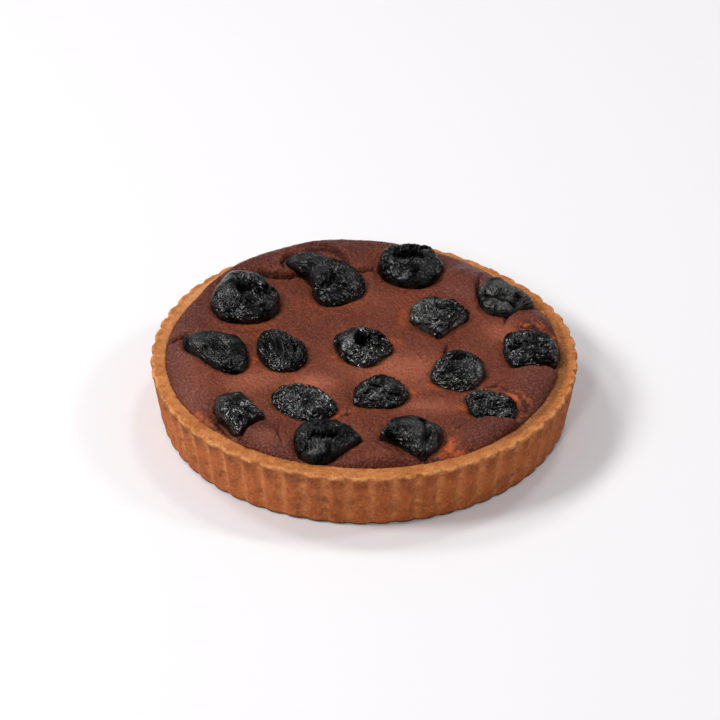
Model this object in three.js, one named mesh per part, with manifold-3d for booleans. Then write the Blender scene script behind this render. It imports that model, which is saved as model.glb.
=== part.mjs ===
// Prune tart: a fluted shortcrust shell, a puffed baked filling and sixteen whole prunes
// sunk into it. Millimetres, +Z up, origin at the centre of the flat underside, with the
// front of the tart towards -Y.

import * as THREE from 'three';
import { mergeVertices } from 'three/addons/utils/BufferGeometryUtils.js';
import Module from 'manifold-3d';

const wasm = await Module();
wasm.setup();

// Shell, as it leaves a 22 cm fluted tin.
const rimRadius = 108.8;        // to the crests of the flutes, at the rim
const footRadius = 103.2;       // to the crests of the flutes, at the foot
const rimHeight = 31.5;
const rimWidth = 8;
const baseThickness = 4;
const innerFootRadius = 97;
const fluteCount = 58;
const fluteDepth = 1.6;
const grooveSharpness = 1.4;    // above 1 makes the flutes broad and the creases narrow
const firstGroove = -0.8;       // azimuth in degrees of the crease nearest to +X
const stepsPerFlute = 4;
const footChamfer = 1.2;
const rimRounding = 1.4;
const rimDish = 0.5;            // the rim's inner edge lies this much lower

// Where the baked rim has sunk (-) or risen (+): azimuth, spread in degrees, and height.
const rimSwells = [
  { azimuth: 42, spread: 15, rise: -2.4 },
  { azimuth: 138, spread: 26, rise: 1.3 },
  { azimuth: 255, spread: 40, rise: 0.3 },
];

// Filling.
const gap = 0.35;               // kept between pieces that touch
const fillingEdgeLevel = 30.6;
const fillingCrown = 3.2;       // rise of the middle above the edge
const risenEdge = { azimuth: 101, spread: 14, rise: 7 };  // stands above the rim here
const fillingColumns = 72;
const fillingRings = [0.965, 0.9, 0.8, 0.66, 0.48, 0.26];

// The filling puffs up between the prunes next to the rim: place, spread and height.
const puffs = [
  { x: -8, y: 88, spread: 16, rise: 6 },
  { x: -44, y: 82, spread: 11, rise: 4 },
  { x: 53, y: 77, spread: 12, rise: 7 },
  { x: 87, y: 33, spread: 11, rise: 5 },
  { x: 84, y: -22, spread: 13, rise: 2.5 },
  { x: 62, y: -70, spread: 13, rise: 2 },
  { x: -46, y: -80, spread: 12, rise: 2 },
  { x: -86, y: -32, spread: 14, rise: 2 },
  { x: -84, y: 32, spread: 12, rise: 2.5 },
  { x: 5, y: 32, spread: 16, rise: 1 },
];

// Prunes. top is the level of the crest, pit the hollow left by the stone, as an offset
// from the middle and a depth, and outline the places round the widest part, anticlockwise,
// from the middle.
const prunes = [
  {
    at: [-61.5, 49], top: 43.2, pit: [2, 2, 7.5],
    outline: [
      [-17, -9], [-15, -14], [-12, -19], [-6, -21], [1, -22], [9, -20], [16, -14], [18, -5],
      [16, 3], [11, 10], [6, 17], [-2, 22], [-8, 21], [-14, 12], [-17, 3], [-18, -4],
    ],
  },
  {
    at: [-20.7, 66], top: 42, pit: [2, -6, 4],
    outline: [
      [-17, 9], [-12, 4], [-7, -5], [-6, -14], [-2, -22], [5, -24], [14, -19], [19, -14],
      [21, -5], [17, 5], [10, 13], [2, 18], [-4, 23], [-12, 24], [-19, 21], [-21, 14],
    ],
  },
  {
    at: [23.6, 78.4], top: 42.8, pit: [0, 3, 7],
    outline: [
      [-17, -3], [-14, -10], [-8, -15], [-1, -18], [6, -18], [12, -14], [16, -6], [17, 2],
      [14, 9], [10, 14], [5, 17], [-1, 18], [-7, 17], [-12, 14], [-15, 9], [-17, 3],
    ],
  },
  {
    at: [38.3, 30], top: 42.2, pit: [0, 1, 3],
    outline: [
      [-15, -1], [-12, -5], [-9, -9], [-4, -13], [0, -16], [4, -11], [8, -6], [12, -2],
      [15, 3], [11, 9], [7, 13], [1, 16], [-5, 16], [-10, 14], [-14, 10], [-15, 4],
    ],
  },
  {
    at: [73.6, 50.2], top: 40.6, pit: [-3, 0, 5],
    outline: [
      [-15, -1], [-14, -7], [-11, -12], [-7, -14], [-3, -15], [1, -15], [4, -10], [9, -7],
      [14, -5], [8, 3], [3, 8], [-2, 13], [-6, 16], [-11, 14], [-14, 10], [-15, 4],
    ],
  },
  {
    at: [84.7, 2.8], top: 40.2, pit: [-5, 1, 6],
    outline: [
      [-14, -3], [-12, -10], [-9, -15], [-3, -15], [3, -14], [9, -14], [13, -12], [14, -3],
      [13.5, 4], [11, 9], [7, 12], [2, 14], [-4, 15], [-9, 13], [-13, 9], [-14, 3],
    ],
  },
  {
    at: [-75.6, -1.9], top: 41.2, pit: [1, 0, 4],
    outline: [
      [-15, 3], [-11, -1], [-7, -5], [-1, -12], [5, -16], [11, -18], [15, -15], [17, -8],
      [16, 0], [14, 7], [9, 13], [3, 17], [-4, 18], [-10, 17], [-15, 14], [-17, 9],
    ],
  },
  {
    at: [-41.7, 0.3], top: 40.6, pit: [0, 1, 3],
    outline: [
      [-12, -4], [-8, -13], [-4, -17], [2, -18], [8, -16], [12, -9], [12.5, -1], [11, 5],
      [7, 9], [3, 11], [2, 14], [-1, 17], [-5, 18], [-9, 16], [-12, 12], [-13, 7],
    ],
  },
  {
    at: [-0.5, 3.2], top: 41, pit: [1, 3, 7.5],
    outline: [
      [-13, -3], [-10, -9], [-5, -14], [1, -16], [6, -14], [10, -9], [14, -4], [15, 1],
      [12, 5], [8, 11], [4, 14], [-1, 16], [-6, 16], [-10, 14], [-13, 10], [-15, 5],
    ],
  },
  {
    at: [47.7, -16.9], top: 40.4, pit: [-1, 6, 5],
    outline: [
      [-13, -9], [-8, -13], [-3, -15], [3, -17], [8, -14], [12, -8], [14, -2], [13, 4],
      [10, 10], [7, 14], [2, 17], [-3, 16], [-7, 13], [-10, 8], [-12, 3], [-14, -3],
    ],
  },
  {
    at: [63.7, -46.4], top: 37.6, pit: [0, 0, 2],
    outline: [
      [-11.5, 1], [-11, -3], [-9, -9], [-4, -11], [1, -11], [6, -13], [11, -11], [13, -6],
      [13, 0], [10, 6], [6, 9], [1, 11], [-4, 13], [-8, 12], [-11, 9], [-13, 5],
    ],
  },
  {
    at: [8.7, -37.6], top: 40, pit: [0, 2, 3],
    outline: [
      [-13, -9], [-10, -11], [-6, -12], [-2, -12], [4, -12], [9, -10], [13, -5], [14, 0],
      [12, 5], [9, 9], [4, 12], [-1, 13], [-6, 11], [-10, 8], [-13, 2], [-14, -5],
    ],
  },
  {
    at: [-29.8, -45.3], top: 38.4, pit: [0, 0, 2],
    outline: [
      [-15, -2], [-11, -9], [-6, -13], [1, -15], [7, -15], [13, -12], [16, -7], [15, -1],
      [13, 4], [8, 10], [3, 13], [-3, 15], [-9, 14], [-13, 12], [-16, 7], [-16, 3],
    ],
  },
  {
    at: [-62.4, -56], top: 40, pit: [2, 0, 3],
    outline: [
      [-12, 1], [-10, -4], [-6, -10], [-2, -17], [2, -17], [6, -10], [8, -7], [12, -5],
      [13, -2], [8, 7], [4, 13], [1, 18], [-3, 18], [-8, 16], [-12, 12], [-13, 6],
    ],
  },
  {
    at: [-17.7, -79.2], top: 40.6, pit: [0, 2, 6],
    outline: [
      [-15, -11], [-12, -14], [-6, -17], [-1, -17], [4, -14], [9, -9], [13, -4], [17, 1],
      [12, 9], [7, 14], [1, 17], [-5, 17], [-11, 15], [-15, 9], [-17, 2], [-16, -6],
    ],
  },
  {
    at: [23.9, -77.3], top: 41, pit: [5, -2, 2],
    outline: [
      [-12, -1], [-4, -7], [2, -13], [6, -16], [8, -13], [12, -9], [15, -3], [16, 3],
      [15, 7], [11, 11], [6, 14], [1, 16], [-5, 15], [-10, 12], [-14, 7], [-16, 1],
    ],
  },
];
const pruneFloor = 22;          // level of the buried underside
const pruneWaist = 32.4;        // level of the widest part, just under the filling's top

// A prune's section from the floor of its pit, over the crest, round the side and under:
// distance from the middle as a share of the radius, height above or below the waist as
// a share of the rise or the sink, and how much of the pit's depth is taken off.
const pruneSection = [
  { reach: 0, lift: 1, dip: 1 },
  { reach: 0.27, lift: 1, dip: 0.72 },
  { reach: 0.56, lift: 1, dip: 0 },
  { reach: 0.86, lift: 0.7, dip: 0 },
  { reach: 1, lift: 0, dip: 0 },
  { reach: 0.8, lift: -0.7, dip: 0 },
  { reach: 0, lift: -1, dip: 0 },
];

const shellMaterial = { color: 0xbd8050, roughness: 0.85, metalness: 0 };
const fillingMaterial = { color: 0x7a4335, roughness: 0.5, metalness: 0 };
const pruneMaterial = { color: 0x1b1a1d, roughness: 0.35, metalness: 0 };

const radians = THREE.MathUtils.degToRad;

// 1 at the azimuth, falling smoothly to nothing away from it, all round the circle.
function lobe(angle, azimuth, sharpness) {
  return Math.exp(sharpness * (Math.cos(angle - radians(azimuth)) - 1));
}

// The height that a swelling at an azimuth, spread over some degrees, gives at an angle.
function swell(angle, { azimuth, spread, rise }) {
  return rise * lobe(angle, azimuth, 1 / radians(spread) ** 2);
}

// A closed solid of revolution about +Z, from [radius, height] pairs that run from the
// axis underneath, round the outside, to the axis on top.
function turned(pairs, columns) {
  const profile = pairs.map(([radius, height]) => new THREE.Vector2(radius, height));
  const geometry = new THREE.LatheGeometry(profile, columns);
  geometry.rotateX(Math.PI / 2);
  return welded(geometry);
}

function welded(geometry) {
  geometry.deleteAttribute('normal');
  geometry.deleteAttribute('uv');
  return mergeVertices(geometry, 1e-4);
}

// Moves every vertex of a geometry by a function that changes the point it is given.
function reshaped(geometry, change) {
  const position = geometry.getAttribute('position');
  const point = new THREE.Vector3();
  for (let i = 0; i < position.count; i += 1) {
    point.fromBufferAttribute(position, i);
    change(point, i);
    position.setXYZ(i, point.x, point.y, point.z);
  }
  return geometry;
}

// The same shape with its skin moved outwards.
function swollen(geometry, amount) {
  const copy = geometry.clone();
  copy.computeVertexNormals();
  const normal = copy.getAttribute('normal');
  reshaped(copy, (point, i) => {
    point.x += normal.getX(i) * amount;
    point.y += normal.getY(i) * amount;
    point.z += normal.getZ(i) * amount;
  });
  copy.deleteAttribute('normal');
  return copy;
}

function toManifold(geometry) {
  const vertProperties = new Float32Array(geometry.getAttribute('position').array);
  const triVerts = new Uint32Array(geometry.index.array);
  return new wasm.Manifold(new wasm.Mesh({ numProp: 3, vertProperties, triVerts }));
}

function toGeometry(manifold) {
  const mesh = manifold.getMesh();
  const geometry = new THREE.BufferGeometry();
  geometry.setAttribute('position', new THREE.BufferAttribute(mesh.vertProperties, 3));
  geometry.setIndex(new THREE.BufferAttribute(mesh.triVerts, 1));
  return geometry;
}

function rimSwell(angle) {
  return rimSwells.reduce((total, each) => total + swell(angle, each), 0);
}

function makeShell() {
  const geometry = turned([
    [0, 0],
    [footRadius - footChamfer, 0],
    [footRadius, footChamfer],
    [rimRadius, rimHeight - rimRounding],
    [rimRadius - rimRounding, rimHeight],
    [rimRadius - rimWidth, rimHeight - rimDish],
    [innerFootRadius, baseThickness],
    [0, baseThickness],
  ], fluteCount * stepsPerFlute);
  geometry.rotateZ(radians(firstGroove));
  const flutedFrom = footRadius - 1.5 * footChamfer;
  return reshaped(geometry, (point) => {
    const angle = Math.atan2(point.y, point.x);
    const radius = Math.hypot(point.x, point.y);
    if (radius > flutedFrom) {
      const turn = fluteCount * (angle - radians(firstGroove));
      const groove = (0.5 + 0.5 * Math.cos(turn)) ** grooveSharpness;
      const pulled = 1 - (fluteDepth * groove) / radius;
      point.x *= pulled;
      point.y *= pulled;
    }
    point.z += rimSwell(angle) * Math.max(0, point.z - baseThickness) / (rimHeight - baseThickness);
  });
}

// Level of the filling's top at a place in plan.
function fillingLevel(x, y, outerRadius) {
  const share = Math.min(1, Math.hypot(x, y) / outerRadius);
  const taper = 1 - share ** 12;
  const angle = Math.atan2(y, x);
  const edgeSwell = rimSwell(angle) + swell(angle, risenEdge);
  let level = fillingEdgeLevel + edgeSwell * share ** 8;
  level += fillingCrown * (1 - share ** 8);
  for (const puff of puffs) {
    const away = ((x - puff.x) ** 2 + (y - puff.y) ** 2) / puff.spread ** 2;
    level += puff.rise * Math.exp(-away) * taper;
  }
  return level;
}

function makeFilling(pruneGeometries) {
  const bottom = baseThickness + gap;
  const outerRadius = rimRadius - rimWidth - gap;
  const rings = fillingRings.map((share) => [share * outerRadius, fillingEdgeLevel]);
  const disc = turned([
    [0, bottom],
    [innerFootRadius - gap, bottom],
    [outerRadius, fillingEdgeLevel],
    ...rings,
    [0, fillingEdgeLevel],
  ], fillingColumns);
  reshaped(disc, (point) => {
    if (point.z > fillingEdgeLevel - gap) {
      point.z = fillingLevel(point.x, point.y, outerRadius);
    }
  });
  let body = toManifold(disc);
  for (const geometry of pruneGeometries) {
    body = body.subtract(toManifold(swollen(geometry, gap)));
  }
  const pieces = body.decompose().sort((a, b) => b.volume() - a.volume());
  return toGeometry(pieces[0]);
}

// One prune: its section turned, drawn out to its outline, with the pit moved off centre.
function makePrune({ at, top, pit, outline }) {
  const section = pruneSection.map(({ reach }, i) => [reach, i]).reverse();
  const rise = top - pruneWaist;
  const sink = pruneWaist - pruneFloor;
  const [pitX, pitY, pitDepth] = pit;
  const step = (2 * Math.PI) / outline.length;
  return reshaped(turned(section, outline.length), (point) => {
    const { reach, lift, dip } = pruneSection[Math.round(point.z)];
    const turns = Math.round(Math.atan2(point.y, point.x) / step) + outline.length;
    const [edgeX, edgeY] = outline[turns % outline.length];
    const pitShift = lift > 0 ? 1 - reach ** 2 : 0;
    point.x = at[0] + reach * edgeX + pitX * pitShift;
    point.y = at[1] + reach * edgeY + pitY * pitShift;
    point.z = pruneWaist + lift * (lift > 0 ? rise : sink) - dip * pitDepth;
  });
}

function addMesh(group, name, geometry, material) {
  geometry.computeVertexNormals();
  const mesh = new THREE.Mesh(geometry, new THREE.MeshStandardMaterial(material));
  mesh.name = name;
  group.add(mesh);
}

const tart = new THREE.Group();
const pruneGeometries = prunes.map(makePrune);
addMesh(tart, 'tart_shell', makeShell(), shellMaterial);
addMesh(tart, 'filling', makeFilling(pruneGeometries), fillingMaterial);
pruneGeometries.forEach((geometry, i) => {
  addMesh(tart, `prune_${String(i + 1).padStart(2, '0')}`, geometry, pruneMaterial);
});

export default tart;
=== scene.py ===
import math
import bpy
import numpy as np
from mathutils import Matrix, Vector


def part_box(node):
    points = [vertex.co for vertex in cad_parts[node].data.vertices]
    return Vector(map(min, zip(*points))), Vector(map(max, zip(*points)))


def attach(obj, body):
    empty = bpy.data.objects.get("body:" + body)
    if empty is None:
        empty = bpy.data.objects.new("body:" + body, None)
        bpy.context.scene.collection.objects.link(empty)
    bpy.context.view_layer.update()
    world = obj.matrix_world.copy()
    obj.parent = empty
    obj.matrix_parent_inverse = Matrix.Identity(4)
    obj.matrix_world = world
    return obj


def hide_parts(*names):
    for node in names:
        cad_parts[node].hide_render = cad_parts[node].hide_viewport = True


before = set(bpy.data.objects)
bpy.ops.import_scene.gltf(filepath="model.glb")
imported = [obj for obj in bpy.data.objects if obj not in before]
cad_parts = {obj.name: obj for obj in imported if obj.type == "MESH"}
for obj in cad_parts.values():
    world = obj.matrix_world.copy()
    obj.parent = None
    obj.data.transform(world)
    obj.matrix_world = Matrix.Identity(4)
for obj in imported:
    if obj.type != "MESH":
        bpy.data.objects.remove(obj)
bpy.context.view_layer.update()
mm = 0.001
print("frame loaded,", len(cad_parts), "nodes")


# small tools, all in millimetres

def smooth(low, high, value):
    share = np.clip((value - low) / (high - low), 0, 1)
    return share * share * (3 - 2 * share)


def lobe(angle, azimuth, spread):
    # 1 at the azimuth, fading over so many degrees, all round the circle
    away = np.cos(angle - math.radians(azimuth)) - 1
    return np.exp(away / math.radians(spread) ** 2)


def swirl(x, y, turn):
    # the same place in axes turned by so many degrees
    c, s = math.cos(math.radians(turn)), math.sin(math.radians(turn))
    return x * c + y * s, y * c - x * s


def spot(x, y, place):
    # 1 in the middle of a soft oval, fading outwards
    middleX, middleY, wide, deep, turn = place
    u, v = swirl(x - middleX, y - middleY, turn)
    return np.exp(-(u / wide) ** 2 - (v / deep) ** 2)


def tapered(way, trim, power):
    # fades a line towards its two ends
    return np.sin(math.pi * np.clip(way, trim, 1 - trim)) ** power


class Grain:
    # soft seeded noise, about -1 to 1, at any points
    def __init__(self, seed):
        draw = np.random.default_rng(seed)
        self.order = np.tile(draw.permutation(256), 3)
        slopes = draw.normal(size=(256, 3))
        self.slopes = slopes / np.linalg.norm(slopes, axis=1)[:, None]

    def at(self, points, size):
        place = points / size
        cell = np.floor(place).astype(int)
        part = place - cell
        cell &= 255
        ease = part ** 3 * (part * (part * 6 - 15) + 10)
        total = np.zeros(len(points))
        for corner in np.ndindex(2, 2, 2):
            corner = np.array(corner)
            index = self.order[cell[:, 0] + corner[0]]
            index = self.order[index + cell[:, 1] + corner[1]]
            index = self.order[index + cell[:, 2] + corner[2]]
            weight = np.prod(np.where(corner, ease, 1 - ease), axis=1)
            total += weight * np.sum(self.slopes[index] * (part - corner), axis=1)
        return total * 1.6

    def rough(self, points, size, layers):
        # each layer half the size and strength of the one before
        return sum(self.at(points + 7.3 * k, size / 2 ** k) / 2 ** k for k in range(layers))

    def relief(self, points, sizeAndDepth):
        size, depth = sizeAndDepth
        return depth * self.rough(points, size, 2)


def bent(places, count=20):
    # points along a curve through three places
    share = np.linspace(0, 1, count)[:, None]
    start, middle, end = np.reshape(places, (3, 2))
    pull = 2 * middle - (start + end) / 2
    return (1 - share) ** 2 * start + 2 * share * (1 - share) * pull + share ** 2 * end


def along(x, y, path):
    # distance to a path, share of the way along it, and which side (+ is left)
    best = np.full(len(x), 1e9)
    way = np.zeros(len(x))
    side = np.ones(len(x))
    for k in range(len(path) - 1):
        step = path[k + 1] - path[k]
        dx, dy = x - path[k][0], y - path[k][1]
        share = np.clip((dx * step[0] + dy * step[1]) / (step @ step), 0, 1)
        gap = np.hypot(dx - share * step[0], dy - share * step[1])
        near = gap < best
        best = np.where(near, gap, best)
        way = np.where(near, (k + share) / (len(path) - 1), way)
        side = np.where(near, np.sign(step[0] * dy - step[1] * dx), side)
    return best, way, side


def closedFaces(rows, columns, way):
    # quads between rows that run right round, and a fan to one more point at each end
    # way: 1 where the rows start at the bottom, -1 where they start at the top
    here = np.arange(rows * columns).reshape(rows, columns)
    there = np.roll(here, -1, axis=1)
    quads = np.stack([here[:-1], there[:-1], there[1:], here[1:]], axis=-1).reshape(-1, 4)
    first, last = (np.stack([here[k], there[k], np.full(columns, here.size + (k != 0))], axis=-1)
                   for k in (0, -1))
    return quads[:, ::way].tolist() + first[:, ::-way].tolist() + last[:, ::way].tolist()


def addObject(name, data):
    made = bpy.data.objects.new(name, data)
    bpy.context.scene.collection.objects.link(made)
    return made


def makePiece(name, points, faces, node, slot, material, **marks):
    mesh = bpy.data.meshes.new(name)
    mesh.from_pydata((points * mm).tolist(), [], faces)
    mesh.shade_smooth()
    for mark, values in marks.items():
        # the points that were added last have a mark of 0
        shares = np.zeros(len(points), dtype=np.float32)
        shares[:len(values)] = values
        mesh.attributes.new(mark, "FLOAT", "POINT").data.foreach_set("value", shares)
    mesh.materials.append(material)
    piece = addObject(name, mesh)
    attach(piece, "root")
    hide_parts(node)


def gridNormals(points, rows, columns):
    # outward normals of a grid that closes on itself along its rows
    net = points.reshape(rows, columns, 3)
    around = np.roll(net, -1, axis=1) - np.roll(net, 1, axis=1)
    down = np.gradient(net, axis=0)
    normal = np.cross(around, down)
    size = np.linalg.norm(normal, axis=2, keepdims=True)
    return (normal / np.maximum(size, 1e-9)).reshape(-1, 3)


# tools for the finishes

def tint(red, green, blue):
    # a colour given as 0-255 screen values
    def line(value):
        value /= 255
        return value / 12.92 if value <= 0.04045 else ((value + 0.055) / 1.055) ** 2.4
    return line(red), line(green), line(blue), 1


class Wire:
    # one socket; sums with it add Math nodes
    def __init__(self, board, socket):
        self.board = board
        self.socket = socket

    def math(self, operation, *values, clamp=False):
        settings = {"operation": operation, "use_clamp": clamp}
        return self.board.node("ShaderNodeMath", settings, dict(enumerate(values)))

    def __add__(self, other):
        return self.math("ADD", self, other)

    def __radd__(self, other):
        return self.math("ADD", other, self)

    def __sub__(self, other):
        return self.math("SUBTRACT", self, other)

    def __rsub__(self, other):
        return self.math("SUBTRACT", other, self)

    def __mul__(self, other):
        return self.math("MULTIPLY", self, other)

    def __rmul__(self, other):
        return self.math("MULTIPLY", other, self)

    def clamped(self):
        return self.math("ADD", self, 0.0, clamp=True)

    def between(self, low, high):
        # 0 below low, 1 above high, smooth in the middle
        settings = {"interpolation_type": "SMOOTHSTEP"}
        return self.board.node("ShaderNodeMapRange", settings, {0: self, 1: low, 2: high})


class Board:
    # the node tree of one finish
    def __init__(self, name):
        self.material = bpy.data.materials.new(name)
        self.material.use_nodes = True
        self.tree = self.material.node_tree
        self.tree.nodes.clear()

    def node(self, kind, settings=None, sockets=None, out=0):
        made = self.tree.nodes.new(kind)
        for key, value in (settings or {}).items():
            setattr(made, key, value)
        for key, value in (sockets or {}).items():
            if isinstance(value, Wire):
                self.tree.links.new(value.socket, made.inputs[key])
            else:
                made.inputs[key].default_value = value
        return Wire(self, made.outputs[out]) if made.outputs else made

    def mark(self, name):
        return self.node("ShaderNodeAttribute", {"attribute_name": name}, out="Fac")

    def noise(self, size, detail, seed=0, rough=0.55):
        # noise of about this many millimetres
        place = self.node("ShaderNodeTexCoord", out="Object")
        wanted = {0: place, 1: (seed, seed * 2, 0), 3: [1 / (size * mm)] * 3}
        moved = self.node("ShaderNodeMapping", {}, wanted)
        wanted = {"Vector": moved, "Scale": 1.0, "Detail": detail, "Roughness": rough}
        return self.node("ShaderNodeTexNoise", {}, wanted)

    def blend(self, factor, first, second):
        sockets = {0: factor, 6: first, 7: second}
        return self.node("ShaderNodeMix", {"data_type": "RGBA"}, sockets, out=2)

    def layers(self, colour, *coats):
        # each coat is its share and its colour, laid over the ones before
        for share, *shade in coats:
            colour = self.blend(share, colour, tint(*shade))
        return colour

    def bump(self, height, depth, under=None):
        wanted = {"Height": height, "Distance": depth * mm}
        if under:
            wanted["Normal"] = under
        return self.node("ShaderNodeBump", {}, wanted)

    def finish(self, **sockets):
        wanted = {key.replace("_", " "): value for key, value in sockets.items()}
        shader = self.node("ShaderNodeBsdfPrincipled", {}, wanted)
        self.node("ShaderNodeOutputMaterial", {}, {"Surface": shader})
        return self.material


# camera, floor and light

cameraLook = {
    "lens": 250.57, "sensor": 36.0, "distance": 2.606,
    "lookAt": (-0.0024, 0.0433, 0.0), "elevation": 33.98, "turn": 0.369, "farthest": 50,
}


def makeCamera():
    data = bpy.data.cameras.new("camera")
    data.lens = cameraLook["lens"]
    data.sensor_width = cameraLook["sensor"]
    data.clip_end = cameraLook["farthest"]
    camera = addObject("camera", data)
    raised, turned = math.radians(cameraLook["elevation"]), math.radians(cameraLook["turn"])
    away = (math.sin(turned) * math.cos(raised), -math.cos(turned) * math.cos(raised), math.sin(raised))
    camera.location = [a + b * cameraLook["distance"] for a, b in zip(cameraLook["lookAt"], away)]
    camera.rotation_euler = (math.pi / 2 - raised, 0, turned)
    bpy.context.scene.camera = camera


# azimuth, elevation, distance, size and power of each soft box
lightLook = {
    "boxes": {
        "key": (190, 45, 2.1, 0.65, 26.4), "keyBack": (140, 50, 2.1, 0.5, 10.8),
        "front": (256, 36, 2.2, 0.32, 10.4), "back": (62, 60, 2.2, 0.4, 7.2),
        "right": (10, 40, 2.2, 0.36, 9.0),
    },
    "warmth": (1.0, 0.985, 0.97), "sky": (0.97, 0.98, 1.0), "skyStrength": 0.28,
}


def makeLights():
    for name, (azimuth, elevation, distance, size, power) in lightLook["boxes"].items():
        data = bpy.data.lights.new(name, "AREA")
        data.shape = "DISK"
        data.size = size
        data.energy = power
        data.color = lightLook["warmth"]
        lamp = addObject(name, data)
        around, up = math.radians(azimuth), math.radians(elevation)
        lamp.location = (distance * math.cos(up) * math.cos(around),
                         distance * math.cos(up) * math.sin(around), distance * math.sin(up))
        lamp.rotation_euler = (math.pi / 2 - up, 0, around + math.pi / 2)


def makeWorld():
    world = bpy.data.worlds.new("studio")
    world.use_nodes = True
    sky = world.node_tree.nodes["Background"]
    sky.inputs["Color"].default_value = (*lightLook["sky"], 1)
    sky.inputs["Strength"].default_value = lightLook["skyStrength"]
    bpy.context.scene.world = world


floorLook = {"half": 4.0, "colour": (229, 228, 231), "speck": 9, "mottle": 0.03, "rough": 0.75}


def makeFloor():
    board = Board("floor_paint")
    look = floorLook
    speck = board.noise(look["speck"], 2)
    colour = board.blend(look["mottle"] * speck, tint(*look["colour"]), (1, 1, 1, 1))
    material = board.finish(Base_Color=colour, Roughness=look["rough"])
    half = look["half"]
    mesh = bpy.data.meshes.new("floor")
    mesh.from_pydata([(-half, -half, 0), (half, -half, 0), (half, half, 0), (-half, half, 0)],
                     [], [(0, 1, 2, 3)])
    mesh.materials.append(material)
    addObject("floor", mesh)


makeCamera()
makeLights()
makeWorld()
makeFloor()
bpy.context.scene.view_settings.view_transform = "Standard"
print("camera, light and floor set")


# the crust

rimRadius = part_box("tart_shell")[1][1] / mm

# swells: azimuth, spread and amount of the rim's height, of how far its inner edge stands out,
# of how much darker its top is baked (below 0: painted light, made paler), and of the redder
# side of the wall (partly painted shade)
# wallMark, edgeMark and topMark: the place mark where that stretch starts, and its span
# wave, crumb, grit and chips: size and depth of the unevenness
crustLook = {
    "footRadius": 103.7, "rimHeight": 31.5, "footRound": 2.0, "rimRound": 1.2, "lip": 0.35,
    "flutes": 58, "fluteDepth": 1.8, "firstGroove": -0.8, "sharpness": 2.2, "paleStripe": 2.3,
    "perFlute": 20, "footRows": 6, "wallRows": 38, "edgeRows": 8, "topRows": 15, "base": 4,
    "wallMark": (1, 0.93), "edgeMark": (1.93, 0.1), "topMark": (2.03, 0.97),
    "rimSwells": [(42, 15, -2.4), (138, 26, 1.3), (255, 40, 0.3)],
    "innerEdge": 100.8, "innerSwells": [(180, 40, 0.7), (258, 30, -2.6), (295, 14, 0.7), (340, 24, -1.6)],
    "bakedAndLitSwells": [(338, 26, 1), (20, 22, 0.6), (64, 22, -0.4), (126, 26, -1.2)],
    "redAndShadedSwells": [(298, 28, 1)],
    "wave": (19, 0.5), "crumb": (3.6, 0.3), "grit": (1.3, 0.14), "chips": (3.4, 1.3),
}


def swellSum(angle, swells):
    return sum(rise * lobe(angle, at, spread) for at, spread, rise in swells)


def rimSwell(angle):
    return swellSum(angle, crustLook["rimSwells"])


def innerEdge(angle):
    return crustLook["innerEdge"] + swellSum(angle, crustLook["innerSwells"])


def grooveAt(angle, sharpness):
    turn = crustLook["flutes"] * (angle - math.radians(crustLook["firstGroove"]))
    return (0.5 + 0.5 * np.cos(turn)) ** sharpness


def crustSection():
    # radius, height, how much of the flute shows, and a place mark: 0 underside, 1 foot,
    # 2 rim's outer edge, 3 its inner edge, 4 hidden cup; makeCrust gives the rim its width
    look = crustLook
    foot, top = look["footRadius"], look["rimHeight"]
    rows = [(0.35 * foot, 0, 0, 0), (0.8 * foot, 0, 0, 0.2), (foot - 4, 0, 0.2, 0.5)]
    for turn in np.linspace(-90, 0, look["footRows"]):
        bend = math.radians(turn)
        out = foot - look["footRound"] * (1 - math.cos(bend))
        rows.append((out, look["footRound"] * (1 + math.sin(bend)), 0.5, 1 + 0.38 * turn / 90))
    wallFoot, wallTop = look["footRound"], top - look["rimRound"]
    mark, span = look["wallMark"]
    for share in np.linspace(0, 1, look["wallRows"])[1:]:
        out = foot + (rimRadius - look["lip"] - foot) * share
        out += look["lip"] * smooth(0.9, 0.97, share)
        fluted = 0.5 + 0.5 * smooth(0, 0.35, share) - 0.3 * smooth(0.7, 1, share)
        rows.append((out, wallFoot + (wallTop - wallFoot) * share, fluted, mark + span * share))
    mark, span = look["edgeMark"]
    for turn in np.linspace(0, 90, look["edgeRows"])[1:]:
        bend = math.radians(turn)
        out = rimRadius - look["rimRound"] * (1 - math.cos(bend))
        level = wallTop + look["rimRound"] * math.sin(bend)
        rows.append((out, level, 0.7 - 0.2 * turn / 90, mark + span * turn / 90))
    out = rimRadius - look["rimRound"]
    mark, span = look["topMark"]
    for share in np.linspace(0, 1, look["topRows"])[1:]:
        level = top - 0.5 * share ** 2 + 0.25 * math.sin(math.pi * share)
        rows.append((out, level, 0.5 * (1 - share) ** 2, mark + span * share))
    inner, base = look["innerEdge"], look["base"]
    rows += [(inner - 0.5, top - 1.6, 0, 3.2), (inner - 1.2, top - 4.5, 0, 3.6)]
    rows += [(inner - 3.2, base + 6, 0, 4), (inner - 4, base + 1, 0, 4), (50, base, 0, 4)]
    return np.array(rows, dtype=float)


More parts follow.
